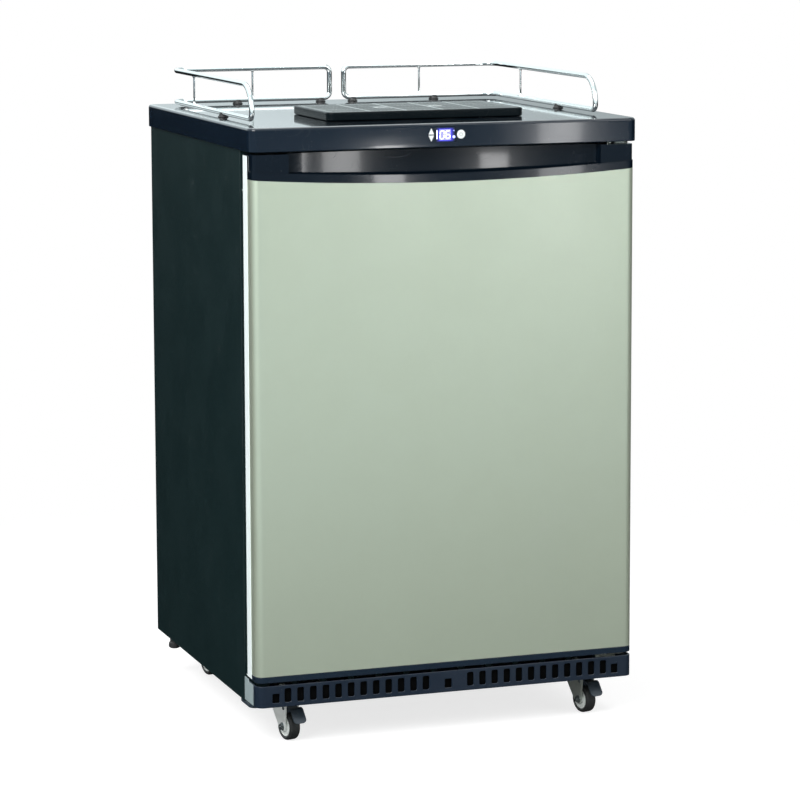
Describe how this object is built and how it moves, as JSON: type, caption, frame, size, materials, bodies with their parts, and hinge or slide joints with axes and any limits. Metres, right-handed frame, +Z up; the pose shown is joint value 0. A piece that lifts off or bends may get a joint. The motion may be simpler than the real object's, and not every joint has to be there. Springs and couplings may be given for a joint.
{
  "type": "kegerator",
  "caption": "Rolling beer-keg refrigerator with a silver door, pocket handle, guard rail, drip tray and control panel on its black worktop.",
  "frame": {"origin": "on the floor, under the middle of the overall box", "axes": "+X to the right seen from the front, -Y towards the front (the door), +Z up"},
  "size_m": [0.604, 0.566, 0.976],
  "materials": {
    "cabinet_black": "satin black paint",
    "worktop_black": "gloss black",
    "door_black": "gloss black",
    "grille_black": "satin black",
    "door_silver": "metallic silver, satin",
    "chrome_rail": "polished",
    "liner_white": "white, satin",
    "door_liner_white": "white, satin",
    "insulation": "rigid foam",
    "galvanised": "galvanised sheet",
    "gland_black": "matt",
    "enamel_black": "gloss enamel",
    "fan_black": "satin",
    "pan_nylon": "natural",
    "copper": "copper, drawn",
    "evaporator_metal": "pressed sheet",
    "keg_plate_steel": "brushed",
    "window_black": "clear over black, gloss",
    "button_white": "lit white",
    "board_green": "solder mask",
    "sleeve_white": "natural",
    "cap_black": "satin black",
    "rail_foot_black": "matt",
    "tray_black": "satin black",
    "grid_steel": "brushed",
    "gasket_grey": "soft, matt",
    "hinge_zinc": "zinc plated",
    "caster_zinc": "zinc plated",
    "tyre_black": "matt"
  },
  "bodies": {
    "cabinet": {"cabinet_wrap": "cabinet_black", "front_cross_rail": "cabinet_black", "worktop": "worktop_black", "base_grille": "grille_black", "guard_rail_left": "chrome_rail", "guard_rail_right": "chrome_rail", "inner_liner": "liner_white", "insulation_foam": "insulation", "back_panel": "galvanised", "underbody_panel": "galvanised", "compressor_cover": "galvanised", "base_pan": "galvanised", "cord_gland": "gland_black", "compressor": "enamel_black", "condenser_fan_frame": "fan_black", "drain_pan": "pan_nylon", "condenser_coil": "copper", "filter_drier": "copper", "evaporator_plate": "evaporator_metal", "display_window": "window_black", "control_board": "board_green", "beer_line_sleeve": "sleeve_white", "rail_foot_left_side": "rail_foot_black", "rail_foot_left_back": "rail_foot_black", "rail_foot_left_centre": "rail_foot_black", "rail_foot_right_side": "rail_foot_black", "rail_foot_right_back": "rail_foot_black", "rail_foot_right_centre": "rail_foot_black", "top_hinge": "hinge_zinc", "bottom_hinge": "hinge_zinc", "caster_stem_front_left": "caster_zinc", "caster_stem_front_right": "caster_zinc", "caster_stem_rear_left": "caster_zinc", "caster_stem_rear_right": "caster_zinc"},
    "door": {"door_skin": "door_silver", "door_top_cap": "door_black", "door_bottom_trim": "door_black", "door_inner_liner": "door_liner_white", "door_foam": "insulation", "door_gasket": "gasket_grey", "top_hinge_bush": "sleeve_white", "bottom_hinge_bush": "sleeve_white"},
    "drip_tray": {"drip_tray": "tray_black"},
    "drip_grid": {"drip_grid": "grid_steel"},
    "beer_line_cap": {"beer_line_cap": "cap_black"},
    "keg_plate": {"keg_plate": "keg_plate_steel"},
    "power_button": {"power_button": "button_white"},
    "up_button": {"up_button": "button_white"},
    "down_button": {"down_button": "button_white"},
    "fan_rotor": {"condenser_fan_rotor": "fan_black"},
    "swivel_front_left": {"caster_fork_front_left": "caster_zinc"},
    "wheel_front_left": {"caster_wheel_front_left": "tyre_black"},
    "brake_front_left": {"brake_lever_front_left": "caster_zinc"},
    "swivel_front_right": {"caster_fork_front_right": "caster_zinc"},
    "wheel_front_right": {"caster_wheel_front_right": "tyre_black"},
    "brake_front_right": {"brake_lever_front_right": "caster_zinc"},
    "swivel_rear_left": {"caster_fork_rear_left": "caster_zinc"},
    "wheel_rear_left": {"caster_wheel_rear_left": "tyre_black"},
    "swivel_rear_right": {"caster_fork_rear_right": "caster_zinc"},
    "wheel_rear_right": {"caster_wheel_rear_right": "tyre_black"}
  },
  "joints": [
    {"name": "door_hinge", "type": "hinge", "parent": "cabinet", "child": "door", "pos_m": [0.282, -0.258, 0.4895], "axis": [0, 0, 1], "range_deg": [0, 115]},
    {"name": "drip_tray_lift", "type": "slide", "parent": "cabinet", "child": "drip_tray", "axis": [0, 0, 1], "range_m": [0, 0.12]},
    {"name": "drip_grid_lift", "type": "slide", "parent": "drip_tray", "child": "drip_grid", "axis": [0, 0, 1], "range_m": [0, 0.1]},
    {"name": "beer_line_cap_lift", "type": "slide", "parent": "cabinet", "child": "beer_line_cap", "axis": [0, 0, 1], "range_m": [0, 0.08]},
    {"name": "keg_plate_lift", "type": "slide", "parent": "cabinet", "child": "keg_plate", "axis": [0, 0, 1], "range_m": [0, 0.2]},
    {"name": "fan_spin", "type": "hinge", "parent": "cabinet", "child": "fan_rotor", "pos_m": [-0.02, 0.217, 0.1126], "axis": [1, 0, 0], "continuous": true},
    {"name": "power_button_press", "type": "slide", "parent": "cabinet", "child": "power_button", "axis": [0, 1, 0], "range_m": [0, 0.0012], "stiffness_N_per_m": 400},
    {"name": "up_button_press", "type": "slide", "parent": "cabinet", "child": "up_button", "axis": [0, 1, 0], "range_m": [0, 0.0012], "stiffness_N_per_m": 400},
    {"name": "down_button_press", "type": "slide", "parent": "cabinet", "child": "down_button", "axis": [0, 1, 0], "range_m": [0, 0.0012], "stiffness_N_per_m": 400},
    {"name": "swivel_front_left", "type": "hinge", "parent": "cabinet", "child": "swivel_front_left", "pos_m": [-0.2375, -0.207, 0.06], "axis": [0, 0, 1], "continuous": true},
    {"name": "wheel_spin_front_left", "type": "hinge", "parent": "swivel_front_left", "child": "wheel_front_left", "pos_m": [-0.23274, -0.22848, 0.021], "axis": [0.9763, 0.2164, 0], "continuous": true},
    {"name": "brake_front_left", "type": "hinge", "parent": "swivel_front_left", "child": "brake_front_left", "pos_m": [-0.23187, -0.23238, 0.05], "axis": [0.9763, 0.2164, 0], "range_deg": [0, 12]},
    {"name": "swivel_front_right", "type": "hinge", "parent": "cabinet", "child": "swivel_front_right", "pos_m": [0.2375, -0.207, 0.06], "axis": [0, 0, 1], "continuous": true},
    {"name": "wheel_spin_front_right", "type": "hinge", "parent": "swivel_front_right", "child": "wheel_front_right", "pos_m": [0.24226, -0.22848, 0.021], "axis": [0.9763, 0.2164, 0], "continuous": true},
    {"name": "brake_front_right", "type": "hinge", "parent": "swivel_front_right", "child": "brake_front_right", "pos_m": [0.24313, -0.23238, 0.05], "axis": [0.9763, 0.2164, 0], "range_deg": [0, 12]},
    {"name": "swivel_rear_left", "type": "hinge", "parent": "cabinet", "child": "swivel_rear_left", "pos_m": [-0.2375, 0.217, 0.06], "axis": [0, 0, 1], "continuous": true},
    {"name": "wheel_spin_rear_left", "type": "hinge", "parent": "swivel_rear_left", "child": "wheel_rear_left", "pos_m": [-0.23274, 0.19552, 0.021], "axis": [0.9763, 0.2164, 0], "continuous": true},
    {"name": "swivel_rear_right", "type": "hinge", "parent": "cabinet", "child": "swivel_rear_right", "pos_m": [0.2375, 0.217, 0.06], "axis": [0, 0, 1], "continuous": true},
    {"name": "wheel_spin_rear_right", "type": "hinge", "parent": "swivel_rear_right", "child": "wheel_rear_right", "pos_m": [0.24226, 0.19552, 0.021], "axis": [0.9763, 0.2164, 0], "continuous": true}
  ]
}
